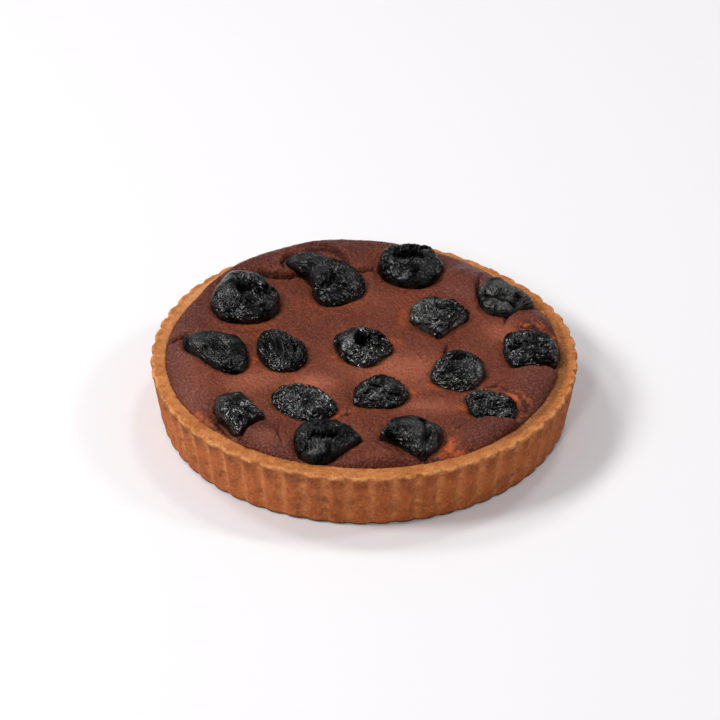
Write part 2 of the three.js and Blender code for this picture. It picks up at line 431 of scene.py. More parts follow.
def makeCrust():
    look = crustLook
    section = crustSection()
    columns = look["flutes"] * look["perFlute"]
    rows = len(section)
    angle = np.tile(np.arange(columns) * 2 * math.pi / columns, rows)
    out, level, fluted, zone = (np.repeat(section[:, k], columns) for k in range(4))
    groove = grooveAt(angle, look["sharpness"])
    inward = rimRadius - look["rimRound"] - innerEdge(angle)
    mark, span = look["topMark"]
    out = out - inward * np.clip((zone - mark) / span, 0, 1) * (zone < 3.1)
    out = out + (innerEdge(angle) - look["innerEdge"]) * (zone > 3.1) * (zone < 3.9)
    out = out - look["fluteDepth"] * groove * fluted
    base = look["base"]
    raised = np.clip((level - base) / (look["rimHeight"] - base), 0, 1.1)
    level = level + rimSwell(angle) * raised

    points = np.stack([out * np.cos(angle), out * np.sin(angle), level], axis=1)
    net = Grain(11)
    outside = smooth(0.9, 1.1, zone) * (1 - smooth(3.3, 3.6, zone))
    onTop = smooth(1.9, 2.1, zone) * (1 - smooth(3.1, 3.4, zone))
    wave = net.relief(points, look["wave"])
    crumb = net.relief(points + 50, look["crumb"]) + net.relief(points, look["grit"])
    size, depth = look["chips"]
    chips = np.minimum(0, net.rough(points + 90, size, 2) + 0.3) * depth
    # chipped most at the rim's outer edge, and half as much at its inner one
    edge = np.exp(-((zone - 1.99) / 0.08) ** 2) + 0.5 * np.exp(-((zone - 3) / 0.1) ** 2)
    shift = outside * (crumb * (1 - 0.5 * onTop) + 0.35 * wave) + chips * edge
    normal = gridNormals(points, rows, columns)
    points = points + normal * shift[:, None]
    points[:, 2] += onTop * wave * 0.6
    points[:, 2] = np.maximum(points[:, 2], 0)
    points[zone < 0.6, 2] = 0  # the underside is flat

    points = np.vstack([points, [[0, 0, 0], [0, 0, base]]])
    faces = closedFaces(rows, columns, 1)
    marks = {
        "groove": grooveAt(angle, look["paleStripe"]) * fluted, "zone": zone, "low": shift,
        "baked": swellSum(angle, look["bakedAndLitSwells"]) * smooth(2.25, 2.6, zone),
        "side": swellSum(angle, look["redAndShadedSwells"]),
    }
    makePiece("crust", points, faces, "tart_shell", "crust", crustFinish(), **marks)


def crustFinish():
    board = Board("baked_crust")
    groove, zone, baked, low, side = map(board.mark, ("groove", "zone", "baked", "low", "side"))
    cloud, patch = board.noise(13, 3), board.noise(4.2, 3, 5)
    crumbs, grit = board.noise(1.5, 4, 9, rough=0.7), board.noise(0.7, 2, 13)
    # lipShade: painted shade on each flute just under the rim's lip
    lipShade = (1 - groove) * zone.between(1.62, 1.8) * (1 - zone.between(1.9, 1.96))
    crease = groove * (0.34 + 0.52 * patch.between(0.3, 0.65))
    # foot: painted contact shadow along the foot of the wall, with its darker-baked edge
    foot = 1 - (zone + 0.06 * crumbs).between(0.86, 1.07)
    wall = board.layers(
        tint(152, 79, 40),
        (cloud.between(0.3, 0.7), 178, 100, 57),
        (patch.between(0.35, 0.7), 180, 99, 50),
        (lipShade * (0.25 + 0.45 * patch.between(0.35, 0.6)), 112, 56, 30),
        # side: a redder, darker right-front wall, partly its own tone, partly painted shade away from the
        # key light
        (0.4 * side, 146, 64, 22),
        (crease, 208, 134, 82),
        (0.95 * foot, 36, 16, 9),
    )
    top = board.layers(
        tint(170, 99, 47),
        (patch.between(0.35, 0.65), 194, 124, 68),
        (0.55 * cloud.between(0.5, 0.72), 158, 92, 44),
        (0.7 * baked, 96, 58, 30),
        # painted light: the rim's top made paler where the baked swells go below 0, on its back
        (0.6 * (0 - baked), 226, 166, 118),
    )
    upper = (zone + 0.06 * (patch - 0.5)).between(1.9, 1.97)
    # paleEdgeHighlight: a paler line along the rim's outer edge, painted highlight where it catches the
    # light, with barer crust
    paleEdgeHighlight = upper * (1 - zone.between(2.0, 2.12)) * patch.between(0.3, 0.55)
    colour = board.layers(
        board.blend(upper, wall, top),
        (0.55 * paleEdgeHighlight, 222, 158, 104),
        (0.6 * crumbs.between(0.52, 0.7), 206, 140, 88),
        (0.55 * (1 - crumbs.between(0.3, 0.46)), 96, 50, 26),
        # painted shade in dents and chips, where the surface is pushed in
        (0.5 * (1 - low.between(-0.35, 0.0)), 110, 60, 32),
    )
    skin = board.bump(grit, 0.3)
    skin = board.bump(crumbs, 0.6, skin)
    return board.finish(Base_Color=colour, Roughness=0.8, Specular_IOR_Level=0.2, Normal=skin)


makeCrust()
print("crust made")


# the prunes

# gloss: shine of the skin; bloom: how dusty and pale it is
# outline: places round the widest part, from its middle, anticlockwise
# pits: x, y, wide, deep, turn, drop, lip; mounds: x, y, wide, deep, turn, rise
# folds: x, y of three places, width, drop, lip; rolls: x, y of three places, width, rise
# crinkle: size and depth of the fine wrinkles, and turn the way they run
# calm: x, y, wide, deep of the smooth places
# streaks: the way the lines run, size, depth, hub or middle, reach, turn
pruneLooks = {
    "prune_01": {
        "gloss": 0.62, "crinkle": (2, 0.3),
        "outline": [(-17, -9), (-15, -14), (-12, -19), (-6, -21), (1, -22), (9, -20), (16, -14), (18, -5),
                    (16, 3), (11, 10), (6, 17), (-2, 22), (-8, 21), (-14, 12), (-17, 3), (-18, -4)],
        "pits": [(1.5, 0, 8.5, 7, 10, 9, 0.4)],
        "mounds": [(-10, 1, 7, 9, 0, 1), (5, 10, 7, 5, -20, 1.4), (2, -12, 5, 4, 0, 1.6)],
        "folds": [(-2, 13, -2.5, 5, -1, -5, 2, 4.5, 0.3), (-1, -5, -3, -12, -3, -18, 1.6, 2.2, 0.3),
                  (5, -3, 10, -5.5, 16, -6, 1.1, 1.8, 0.7)],
        "rolls": [(0, -4.5, 5, -5, 10, -9.5, 1.2, 2.2), (6, -1, 11, -2.5, 15, -2, 1.1, 1.9),
                  (9, -9, 12, -10, 16, -9, 1.1, 1.6), (2, -9, 5, -7, 7, -11, 1, 1.2)],
        "calm": [(-9, 3, 8, 10), (5, 11, 8, 7), (14, -12, 5, 5)],
        "streaks": [("flow", 2, 1, (9, -6), 8, -12), ("free", 1.3, 0.9, (-8, -14), 6.5, 40)],
    },
    "prune_02": {
        "gloss": 0.5, "crinkle": (1.8, 0.5),
        "outline": [(-17, 9), (-12, 4), (-7, -5), (-6, -14), (-2, -22), (5, -24), (14, -19), (19, -14),
                    (21, -5), (17, 5), (10, 13), (2, 18), (-4, 23), (-12, 24), (-19, 21), (-21, 14)],
        "mounds": [(-10, 11, 8, 6, 20, 0.9), (-3.6, -5, 5, 7, 20, 2.2)],
        "folds": [(-12, 5, -6, 4, 0, 4, 1.2, 1.6, 0.2), (-6, -13, 1, -13, 4, -8, 1.3, 3.6, 0.4),
                  (4, -8, 4.5, -4, 2, 1, 1.2, 3, 0.3), (6, -14, 10, -14, 15, -11, 1.1, 1.4, 0.7)],
        "rolls": [(-1, -17, 6, -17, 12, -12, 1.8, 1), (7, 2, 9, -3, 10, -8, 1.6, 0.8)],
        "calm": [(-11, 12, 12, 9), (-4, -5, 6, 8)],
        "streaks": [("free", 1.3, 1.1, (10, -7), 12, -50)],
    },
    "prune_03": {
        "gloss": 0.22, "crinkle": (2.2, 0.4),
        "outline": [(-17, -3), (-14, -10), (-8, -15), (-1, -18), (6, -18), (12, -14), (16, -6), (17, 2),
                    (14, 9), (10, 14), (5, 17), (-1, 18), (-7, 17), (-12, 14), (-15, 9), (-17, 3)],
        "pits": [(0, 4, 11, 8.5, 0, 12, 0.2)],
        "mounds": [(9, -7, 5, 4, 0, 0.6), (-9, 11, 5, 4, 0, 1.6), (10, 10, 5, 4, 0, 1.6),
                   (0, 15, 5, 3, 0, -0.8)],
        "folds": [(-14, 0, -9, -5, -3, -7, 1.5, 2.2, 0.6), (-4, -13, -3, -9, 2, -6, 1.1, 2, 0.8),
                  (4, 9, 6, 12, 7, 14, 1, 0.7, 0.2), (-3, 10, -4, 12, -4, 15, 1, 0.7, 0.2)],
        "rolls": [(-2, -8, 2, -6, 8, -5, 1.9, 1.3), (-3, -11, 3, -12, 4, -8, 1.2, 1.1),
                  (8, 6, 9, 2, 8, -2, 1.6, 1.4)],
        "calm": [(4, -15, 13, 6), (10, -6, 5, 5)],
        "streaks": [("radial", 2.8, 0.5, (-1, 3), 14, 0), ("free", 1.6, 0.8, (0, -9), 6, 0)],
    },
    "prune_04": {
        "gloss": 1.35, "bloom": 1, "crinkle": (1.4, 0.4),
        "outline": [(-15, -1), (-12, -5), (-9, -9), (-4, -13), (0, -16), (4, -11), (8, -6), (12, -2),
                    (15, 3), (11, 9), (7, 13), (1, 16), (-5, 16), (-10, 14), (-14, 10), (-15, 4)],
        "mounds": [(-3.8, 1, 3, 3, 0, 0.8), (1.2, 0, 3, 3, 0, 0.8), (2.2, 7, 3, 2.5, 0, 0.7)],
        "folds": [(2, 7, 6, 5, 10, 2, 1.2, 1.6, 0.6), (-7.8, 6, -5.8, -2, 0.2, -6, 1, 1.4, 0.7),
                  (3.2, 1, 9.2, -1, 14, -2, 0.9, 1.4, 0.8), (-3.8, -6, 3.2, -7, 9, -5, 0.9, 1.5, 0.8)],
        "rolls": [(-6.8, -4, -1.8, -7, 3.2, -7, 1, 0.9)],
        "streaks": [("around", 1.5, 1, (-1, 1), 30, 0), ("flow", 1.3, 1, (8, -1), 9, -10)],
    },
    "prune_05": {
        "gloss": 0.8, "bloom": 1.5, "crinkle": (1.8, 0.14),
        "outline": [(-15, -1), (-14, -7), (-11, -12), (-7, -14), (-3, -15), (1, -15), (4, -10), (9, -7),
                    (14, -5), (8, 3), (3, 8), (-2, 13), (-6, 16), (-11, 14), (-14, 10), (-15, 4)],
        "mounds": [(-5, 7, 8, 5, -25, 1), (-6.8, -11, 6, 3.4, -10, 0.8)],
        "folds": [(-12, 3, -9, -4, -1, -7.5, 1.7, 5, 0.6), (-4, -7, 1, -8.8, 7, -8, 1.5, 5, 0.6),
                  (-3, 4, 2, 1, 9, -3, 1.1, 0.8, 0.4)],
        "rolls": [(-6.8, 1.4, 0.2, -2.6, 12, -7.2, 1.7, 1.2)],
        "calm": [(-6, 9.4, 9, 5), (-3, 2, 6, 3)],
        "streaks": [("radial", 1.6, 0.9, (-6, -5), 8, 0), ("flow", 1.6, 0.5, (6, -4), 9, -30)],
    },
    "prune_06": {
        "gloss": 0.95, "bloom": 0.15, "crinkle": (1.6, 0.6),
        "outline": [(-14, -3), (-12, -10), (-9, -15), (-3, -15), (3, -14), (9, -14), (13, -12), (14, -3),
                    (13.5, 4), (11, 9), (7, 12), (2, 14), (-4, 15), (-9, 13), (-13, 9), (-14, 3)],
        "pits": [(-7.5, -3, 5.4, 4.4, 0, 5.5, 0.5), (0, 5, 3, 2, 0, 2.4, 0.4)],
        "mounds": [(3.5, -8, 5, 4, 0, 0.8)],
        "folds": [(-3, 4, -1.5, -2, -2.5, -8, 1.2, 1.8, 0.7), (2, 0, 7, -1, 11, 1, 1, 1.4, 0.6),
                  (2, -5, 8, -6, 12, -4, 1, 1.4, 0.6)],
        "rolls": [(-4.5, -9, -0.5, -7, 4.5, -8, 1.3, 1)],
        "calm": [(12.5, 0, 2.5, 8)],
        "streaks": [("free", 1.4, 0.7, (-2, 3), 8, 60), ("flow", 1.5, 0.9, (7, -3), 8, 5)],
    },
    "prune_07": {
        "gloss": 0.38, "bloom": 0.3, "crinkle": (1.8, 0.2),
        "outline": [(-15, 3), (-11, -1), (-7, -5), (-1, -12), (5, -16), (11, -18), (15, -15), (17, -8),
                    (16, 0), (14, 7), (9, 13), (3, 17), (-4, 18), (-10, 17), (-15, 14), (-17, 9)],
        "pits": [(1, -1, 9, 7, 130, 2.8, 0.5)],
        "mounds": [(-11, 8, 6, 6, 0, 0.8), (8, 7, 6, 5, 0, 0.5)],
        "folds": [(-9, 0, -5, -5, 2, -11, 1.2, 1.4, 0.6), (-4, 4, -1, 3, 3, 5, 1.2, 1.6, 0.3)],
        "rolls": [(-5, -6, 1, -10, 7, -11, 1.5, 0.8)],
        "calm": [(-11, 9, 8, 8), (2, 14, 8, 5), (13, 0, 5, 9)],
        "streaks": [("flow", 1.4, 0.9, (1, -3), 8, -58), ("free", 1.4, 0.7, (6, -10), 8, 0)],
    },
    "prune_08": {
        "gloss": 0.48, "crinkle": (1.6, 0.6), "turn": -60,
        "outline": [(-12, -4), (-8, -13), (-4, -17), (2, -18), (8, -16), (12, -9), (12.5, -1), (11, 5),
                    (7, 9), (3, 11), (2, 14), (-1, 17), (-5, 18), (-9, 16), (-12, 12), (-13, 7)],
        "folds": [(-4, 12, -1.6, 1, 1, -14, 3, 3.4, 0.6), (2.9, 5, 5.9, -3, 7, -12, 1, 1.8, 0.7),
                  (-9.1, 5, -8.1, -3, -5, -12, 1, 1.6, 0.6)],
        "rolls": [(-8.5, 10, -6.5, 0, -4, -11, 1.6, 1.8), (3, -1, 5, -7, 5, -13, 1.5, 1.3),
                  (8, -1, 10, -7, 9, -12, 1.3, 1)],
        "streaks": [("flow", 1.3, 0.8, (0, -1), 15, -76)],
    },
    "prune_09": {
        "gloss": 1.05, "bloom": 0.2, "crinkle": (2, 0.7),
        "outline": [(-13, -3), (-10, -9), (-5, -14), (1, -16), (6, -14), (10, -9), (14, -4), (15, 1),
                    (12, 5), (8, 11), (4, 14), (-1, 16), (-6, 16), (-10, 14), (-13, 10), (-15, 5)],
        "pits": [(0, 1, 4.6, 8, -8, 9, 0.7)],
        "mounds": [(-7, 0, 5, 8, 0, 0.9)],
        "folds": [(0.5, 7, -1, 0, 0.5, -7, 2, 4, 0.3), (2, 6, 6, 5, 11, 4, 1.1, 2, 0.8),
                  (3, 0, 8, 0, 13, -3, 1.1, 2.2, 0.8), (3, -5, 8, -6, 12, -7, 1, 1.8, 0.8)],
        "rolls": [(1, -9, 5, -11, 10, -9, 1.3, 1.2), (3, 3, 8, 2, 12, 0, 1.2, 0.9)],
        "calm": [(-8, 2, 5, 9)],
        "streaks": [("flow", 1.6, 0.9, (8, 0), 8, -8), ("radial", 1.9, 0.8, (0, 1), 14, 0)],
    },
    "prune_10": {
        "gloss": 0.9, "bloom": 0.4, "crinkle": (1.5, 0.6),
        "outline": [(-13, -9), (-8, -13), (-3, -15), (3, -17), (8, -14), (12, -8), (14, -2), (13, 4),
                    (10, 10), (7, 14), (2, 17), (-3, 16), (-7, 13), (-10, 8), (-12, 3), (-14, -3)],
        "pits": [(-1, 3.6, 7, 3.3, 10, 7.5, 0.5)],
        "mounds": [(-9, -9, 4, 4, 0, 0.8)],
        "folds": [(-10, -4, -8, 1, -4, 4, 1.2, 2.4, 0.5), (6, 4, 9, -1, 9, -9, 1.2, 1.4, 0.5)],
        "rolls": [(-9, 4, -3, 9, 6, 7, 2.2, 0.6)],
        "calm": [(11, -4, 3, 9), (3, 10, 8, 4)],
        "streaks": [("free", 1.3, 0.8, (-2, -8), 10, 30)],
    },
    "prune_11": {
        "gloss": 0.85, "bloom": 0.15, "crinkle": (1.7, 0.75),
        "outline": [(-11.5, 1), (-11, -3), (-9, -9), (-4, -11), (1, -11), (6, -13), (11, -11), (13, -6),
                    (13, 0), (10, 6), (6, 9), (1, 11), (-4, 13), (-8, 12), (-11, 9), (-13, 5)],
        "pits": [(3.5, -4, 4, 2.4, -8, 3, 0.6), (-7, 1, 3, 2.4, 0, 1.8, 0.4)],
        "mounds": [(1.5, 0, 3, 2.4, 0, 1.3)],
        "folds": [(-10, 6, -6, 1, -4, -7, 1.1, 2, 0.8), (-2, 8, -2, 4, 4, 3, 1, 1.4, 0.6)],
        "rolls": [(8, 4, 10.5, -1, 8, -6, 1.6, 1.3)],
        "calm": [(1.5, 0, 2.6, 2.2)],
        "streaks": [("free", 1.5, 0.6, (-3, 0), 30, 0)],
    },
    "prune_12": {
        "gloss": 0.62, "bloom": 0.1, "crinkle": (2.2, 0.45),
        "outline": [(-13, -9), (-10, -11), (-6, -12), (-2, -12), (4, -12), (9, -10), (13, -5), (14, 0),
                    (12, 5), (9, 9), (4, 12), (-1, 13), (-6, 11), (-10, 8), (-13, 2), (-14, -5)],
        "pits": [(-2, 3, 5, 2.6, 8, 2.6, 0.4)],
        "mounds": [(6, 1, 5, 4, 0, 0.8), (-8, -4, 4, 2.2, 0, 1.2)],
        "folds": [(-9, 0, -3, -1.5, 3, 1.5, 1.3, 2.8, 0.8), (-11, -7, -7, -8.5, -3, -7.5, 1.1, 2.6, 0.9),
                  (2, -3, 5, -7, 9, -10, 1.2, 1.6, 0.8)],
        "rolls": [(-10, -5, -7, -5.5, -3, -4.5, 1.4, 0.9)],
        "calm": [(6, 0, 5, 4), (-8, -4, 4, 2.4)],
        "streaks": [("free", 1.4, 0.4, (0, 0), 30, 0)],
    },
    "prune_13": {
        "gloss": 1.75, "bloom": 0.45, "crinkle": (1.5, 1),
        "outline": [(-15, -2), (-11, -9), (-6, -13), (1, -15), (7, -15), (13, -12), (16, -7), (15, -1),
                    (13, 4), (8, 10), (3, 13), (-3, 15), (-9, 14), (-13, 12), (-16, 7), (-16, 3)],
        "pits": [(3, 0, 9, 5, 150, 1.4, 0.2)],
        "mounds": [(-11, -1, 3, 4, -30, 1)],
        "folds": [(-8, 3, -3, 3, 3, 1, 0.9, 1.2, 0.5), (-6, -3, 0, -5, 6, -7, 0.9, 1.2, 0.5)],
        "rolls": [(-14, 3, -11, -2, -6, -7, 1.6, 1)],
        "streaks": [("free", 1.4, 0.8, (0, 0), 30, 70)],
    },
    "prune_14": {
        "gloss": 1.4, "crinkle": (1.8, 0.2),
        "outline": [(-12, 1), (-10, -4), (-6, -10), (-2, -17), (2, -17), (6, -10), (8, -7), (12, -5),
                    (13, -2), (8, 7), (4, 13), (1, 18), (-3, 18), (-8, 16), (-12, 12), (-13, 6)],
        "mounds": [(-4, 3, 4, 4, 0, 0.8), (-8, -3, 4, 5, 0, 1), (-5, -8, 2.6, 2.6, 0, 1.4)],
        "folds": [(0, -3, 5, -6, 11, -9.5, 1.7, 3, 0.9), (1.6, 4.4, 5.6, -0.6, 10, -4, 1.2, 1.4, 0.6),
                  (-5.4, -9, -1.4, -8.6, 3, -12, 1.1, 2, 0.7)],
        "rolls": [(1.6, 1.4, 5.6, -2.6, 11.6, -4.5, 1.9, 1.8),
                  (-3.4, -5.6, 1.6, -8.6, 5.6, -11.5, 1.4, 1.4)],
        "calm": [(5, -5, 6, 3), (-9, 7, 4, 6)],
        "streaks": [("free", 1.6, 0.6, (-4, 4), 7, 0)],
    },
    "prune_15": {
        "gloss": 0.2, "bloom": 0.2, "crinkle": (2.2, 0.12),
        "outline": [(-15, -11), (-12, -14), (-6, -17), (-1, -17), (4, -14), (9, -9), (13, -4), (17, 1),
                    (12, 9), (7, 14), (1, 17), (-5, 17), (-11, 15), (-15, 9), (-17, 2), (-16, -6)],
        "mounds": [(-3, -11, 6, 4, 0, 1), (-13, -7, 3, 5, 0, 0.7), (7, -8, 5, 4, 0, 0.7),
                   (-3, 4, 9, 4, 0, 0.9)],
        "folds": [(-14, -1.5, -1, -4.5, 12, -1, 1.3, 3.6, 0.9),
                  (-9, -4, -9.5, -9, -9, -14, 1.1, 1.8, 0.6), (3, -6, 2, -11, 3, -15, 1.2, 1.4, 0.5)],
        "rolls": [(-10, 1, -1, -0.5, 9, 2, 2.4, 0.8)],
        "calm": [(-2, -12, 9, 5), (10, -7, 5, 5)],
        "streaks": [("flow", 2, 1.2, (-1, 4), 10, 82), ("flow", 2.6, 0.8, (-6, -10), 9, 88)],
    },
    "prune_16": {
        "gloss": 0.5, "bloom": 0.5, "crinkle": (2.2, 0.25),
        "outline": [(-12, -1), (-4, -7), (2, -13), (6, -16), (8, -13), (12, -9), (15, -3), (16, 3),
                    (15, 7), (11, 11), (6, 14), (1, 16), (-5, 15), (-10, 12), (-14, 7), (-16, 1)],
        "mounds": [(-2.9, 3.7, 10, 7, -18, 1.4)],
        "folds": [(6.1, 5.7, 8.1, -2.3, 5.1, -12.3, 1.4, 3.2, 0.7),
                  (-13.9, -3.3, -7.9, -7.3, 0.1, -11.3, 1.7, 3.4, 0.6),
                  (0.1, 8.7, 4.1, 6.7, 9.1, 7.7, 1, 1.4, 0.5)],
        "rolls": [(-11.9, -1.3, -4.9, -5.3, 4.1, -6.3, 2, 0.9),
                  (9.1, 3.7, 11.1, -1.3, 8.1, -8.3, 1.8, 0.9)],
        "calm": [(-1, 4, 10, 7)],
        "streaks": [("free", 1.4, 0.8, (-1.9, -9), 7, 0), ("flow", 1.8, 0.35, (0.1, 1.7), 9, -60)],
    },
}
# what a prune has where its own look says nothing
plainPrune = {"bloom": 0, "turn": 0, "pits": [], "mounds": [], "calm": []}
# lump and fine: size and depth of the unevenness; taper: trim and power of the fold ends
pruneShape = {
    "columns": 208, "topRows": 72, "sideRows": 7, "waist": 32.6, "square": 2.7, "deepest": 4,
    "lump": (9, 0.9), "fine": (1.1, 0.2), "taper": (0.03, 0.6),
}
# flow and free: how much the lines wander, and their stretch
# radial and around: how often lines come round the hub, and their stretch
streakWays = {"flow": (1.5, 4), "free": (6, 2.6), "radial": (8.5, 4), "around": (1.8, 1)}


def pruneOutline(name, look, columns):
    # a smooth closed line through the places, scaled so that it fills the node's box
    low, high = (np.array(corner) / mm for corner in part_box(name))
    places = np.array(look["outline"], dtype=float)
    share = np.arange(columns) * len(places) / columns
    index = share.astype(int)
    part = (share - index)[:, None]
    before, start, end, after = (places[(index + k) % len(places)] for k in (-1, 0, 1, 2))
    bend = 2 * before - 5 * start + 4 * end - after + (3 * start - before - 3 * end + after) * part
    edge = start + 0.5 * part * (end - before + part * bend)
    scale = (high - low)[:2] / np.ptp(edge, axis=0)
    edge = (edge - (edge.max(axis=0) + edge.min(axis=0)) / 2) * scale
    return edge[:, 0], edge[:, 1], (low + high)[:2] / 2, low, high


def wrinkled(net, places, size, sharp):
    # ridges in two sizes: thin ones with wide valleys, or round ones with narrow valleys
    softness = 0.0008
    wide = np.sqrt(net.at(places, size) ** 2 + softness)
    narrow = np.sqrt(net.at(places + 11, 0.55 * size) ** 2 + softness)
    total = 2.4 * wide + narrow - 0.75
    return -total if sharp else total


def streakPlaces(net, points, way, hub, turn):
    # places squeezed along the lines, so that the noise there is drawn out into long wrinkles
    x, y, z = points[:, 0] - hub[0], points[:, 1] - hub[1], points[:, 2]
    bendX, bendY = net.at(points + 5, 8), net.at(points + 60, 8)
    amount, stretch = streakWays[way]
    if way in ("flow", "free"):
        u, v = swirl(x + amount * bendX, y + amount * bendY, turn)
        return np.stack([u / stretch, v, z / 1.6], axis=1)
    far = np.hypot(x, y) + 2 * bendX
    angle = np.arctan2(y, x)
    return np.stack([np.cos(angle) * amount, np.sin(angle) * amount, far / stretch], axis=1)


def pruneRelief(points, look, net):
    x, y = points[:, 0], points[:, 1]
    calm = np.zeros(len(x))
    for cx, cy, wide, deep in look["calm"]:
        calm = np.maximum(calm, np.exp(-(np.hypot((x - cx) / wide, (y - cy) / deep)) ** 4))
    total = net.relief(points + 3, pruneShape["lump"])
    size, depth = look["crinkle"]
    places = streakPlaces(net, points, "free", (0, 0), look["turn"])
    total += depth * wrinkled(net, places, size, False) * (1 - 0.85 * calm)
    for way, size, depth, hub, reach, turn in look["streaks"]:
        places = streakPlaces(net, points, way, hub, turn)
        fade = np.exp(-(np.hypot(x - hub[0], y - hub[1]) / reach) ** 4)
        total += depth * wrinkled(net, places + 17, size, way == "flow") * fade * (1 - 0.8 * calm)
    total += net.relief(points + 40, pruneShape["fine"])
    return total, calm


def makePrune(name, look, seed):
    shape = pruneShape
    columns, topRows = shape["columns"], shape["topRows"]
    edgeX, edgeY, middle, low, high = pruneOutline(name, look, columns)
    rise = high[2] - shape["waist"] - 0.3  # room for the wrinkles
    quarter = np.linspace(0.004, 1, topRows) * math.pi / 2
    power = 2 / shape["square"]
    reach, dome = np.sin(quarter) ** power, np.cos(quarter) ** power
    x = (reach[:, None] * edgeX[None, :]).ravel()
    y = (reach[:, None] * edgeY[None, :]).ravel()
    inside = np.repeat(smooth(0, 0.55, dome), columns)

    drop = np.zeros(len(x))
    for px, py, wide, deep, turn, depth, lip in look["pits"]:
        u, v = swirl(x - px, y - py, turn)
        away = np.hypot(u / wide, v / deep)
        drop += depth * (1 - smooth(0.1, 1.05, away)) - lip * np.exp(-((away - 1.2) / 0.28) ** 2)
    for *place, height in look["mounds"]:
        drop -= height * spot(x, y, place)
    for *path, width, depth, lip in look["folds"]:
        far, way = along(x, y, bent(path))[:2]
        taper = tapered(way, *shape["taper"])
        drop += taper * depth * np.exp(-(far / width) ** 1.6)
        drop -= taper * lip * np.exp(-((far - 2.1 * width) / width) ** 2)
    for *path, width, height in look["rolls"]:
        far, way = along(x, y, bent(path))[:2]
        drop -= tapered(way, *shape["taper"]) * height * np.sqrt(np.maximum(0, 1 - (far / width) ** 2))
    drop *= inside
    z = shape["waist"] + np.maximum(np.repeat(dome, columns) * rise - drop, -shape["deepest"])

    net = Grain(seed)
    points = np.stack([x, y, z], axis=1)
    sink = shape["waist"] - low[2]
    under = []  # the sides, tucked in below the waist
    for turn in np.linspace(0, 1, shape["sideRows"] + 1)[1:] * math.pi / 2 * 0.93:
        share = math.cos(turn) ** 0.8
        under.append(np.stack([edgeX * share, edgeY * share,
                               np.full(columns, shape["waist"] - sink * math.sin(turn))], axis=1))
    points = np.vstack([points] + under)
    rows = topRows + shape["sideRows"]
    normal = gridNormals(points, rows, columns)
    shift, calm = pruneRelief(points, look, net)
    shift *= smooth(low[2], shape["waist"] - 1, points[:, 2])
    shift[:len(inside)] *= 0.6 + 0.4 * inside
    shift[len(inside):] *= 0.6
    points = points + normal * shift[:, None]

    top = points[:columns].mean(axis=0)
    bottom = points[-columns:].mean(axis=0)
    bottom[2] = low[2]
    points = np.vstack([points, [top, bottom]])
    points[:, :2] += middle
    faces = closedFaces(rows, columns, -1)
    marks = {"hollow": shift, "calm": calm, "pit": smooth(1.1, 4, drop)}
    makePiece(name + "_skin", points, faces, name, "prune", pruneFinish(name, look, seed), **marks)


def pruneFinish(name, look, seed):
    board = Board(name + "_finish")
    hollow, calm, pit = map(board.mark, ("hollow", "calm", "pit"))
    cloud, crease = board.noise(5, 3, seed), board.noise(1.6, 2, 3)
    bloom, gloss = look["bloom"], look["gloss"]
    # creviceShade: painted shade in the pits and between the wrinkles, a near-black colour with a
    # metallic share that takes their reflection away
    creviceShade = (pit + 1 - hollow.between(-0.5, 0.2)).clamped()
    colour = board.layers(
        tint(4, 4, 5),
        (cloud.between(0.4, 0.7), 14, 14, 15),
        (bloom * (0.4 + 0.6 * cloud), 46, 47, 46),
        (creviceShade, 2, 2, 2),
    )
    evenRough = 0.165 - 0.06 * gloss + 0.2 * bloom
    rough = evenRough + 0.16 * calm + 0.08 * cloud.between(0.45, 0.7) + 0.3 * pit
    skin = board.bump(crease, 0.4)
    shine = 0.18 + 0.52 * gloss
    return board.finish(Base_Color=colour, Roughness=rough, Metallic=0.85 * creviceShade,
                        Specular_IOR_Level=shine, Normal=skin)


for number, (pruneName, pruneLook) in enumerate(pruneLooks.items()):
    makePrune(pruneName, {**plainPrune, **pruneLook}, number + 1)
print("prunes made")


# the filling

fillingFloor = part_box("filling")[0][2] / mm
